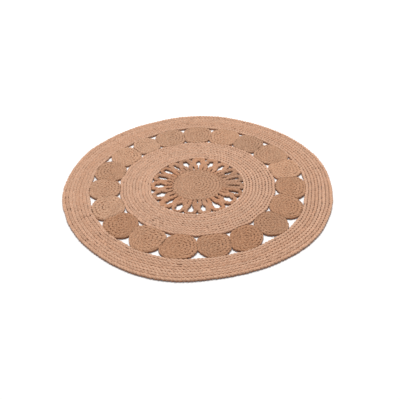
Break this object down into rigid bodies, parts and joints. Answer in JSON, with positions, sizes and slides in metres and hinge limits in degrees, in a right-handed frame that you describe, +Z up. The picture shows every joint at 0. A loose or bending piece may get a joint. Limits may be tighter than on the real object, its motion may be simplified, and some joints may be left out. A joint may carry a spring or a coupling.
{
  "type": "round braided area rug",
  "caption": "Round natural jute area rug: sewn plait border and band, a ring of coiled discs between them and an openwork ring of loops around a coiled centre.",
  "frame": {"origin": "centre of the rug on the floor, under its flat underside", "axes": "+Z up through the rug's thickness; X and Y lie in the floor, and +X points to the rug's right when it is seen from -Y"},
  "size_m": [1.1994, 1.1994, 0.013],
  "materials": {
    "jute_border": "matt natural jute fibre",
    "jute_band": "matt natural jute fibre",
    "jute_discs": "matt natural jute fibre",
    "jute_openwork": "matt natural jute fibre",
    "jute_centre": "matt natural jute fibre",
    "sewing_thread": "matt spun thread"
  },
  "bodies": {
    "root": {"band_lacing": "sewing_thread", "band_row_01": "jute_band", "band_row_02": "jute_band", "band_row_03": "jute_band", "band_row_04": "jute_band", "band_row_05": "jute_band", "band_row_06": "jute_band", "band_row_07": "jute_band", "band_row_08": "jute_band", "band_row_09": "jute_band", "band_row_10": "jute_band", "border_lacing": "sewing_thread", "border_row_01": "jute_border", "border_row_02": "jute_border", "border_row_03": "jute_border", "border_row_04": "jute_border", "border_row_05": "jute_border", "border_row_06": "jute_border", "border_row_07": "jute_border", "border_row_08": "jute_border", "centre_disc": "jute_centre", "coil_disc_01": "jute_discs", "coil_disc_02": "jute_discs", "coil_disc_03": "jute_discs", "coil_disc_04": "jute_discs", "coil_disc_05": "jute_discs", "coil_disc_06": "jute_discs", "coil_disc_07": "jute_discs", "coil_disc_08": "jute_discs", "coil_disc_09": "jute_discs", "coil_disc_10": "jute_discs", "coil_disc_11": "jute_discs", "coil_disc_12": "jute_discs", "coil_disc_13": "jute_discs", "coil_disc_14": "jute_discs", "coil_disc_15": "jute_discs", "coil_disc_16": "jute_discs", "coil_disc_17": "jute_discs", "coil_disc_18": "jute_discs", "coil_disc_19": "jute_discs", "joining_stitches": "sewing_thread", "petal_01": "jute_openwork", "petal_02": "jute_openwork", "petal_03": "jute_openwork", "petal_04": "jute_openwork", "petal_05": "jute_openwork", "petal_06": "jute_openwork", "petal_07": "jute_openwork", "petal_08": "jute_openwork", "petal_09": "jute_openwork", "petal_10": "jute_openwork", "petal_11": "jute_openwork", "petal_12": "jute_openwork", "petal_13": "jute_openwork", "petal_14": "jute_openwork", "petal_15": "jute_openwork", "petal_16": "jute_openwork", "petal_17": "jute_openwork", "petal_18": "jute_openwork", "petal_19": "jute_openwork"}
  },
  "joints": []
}
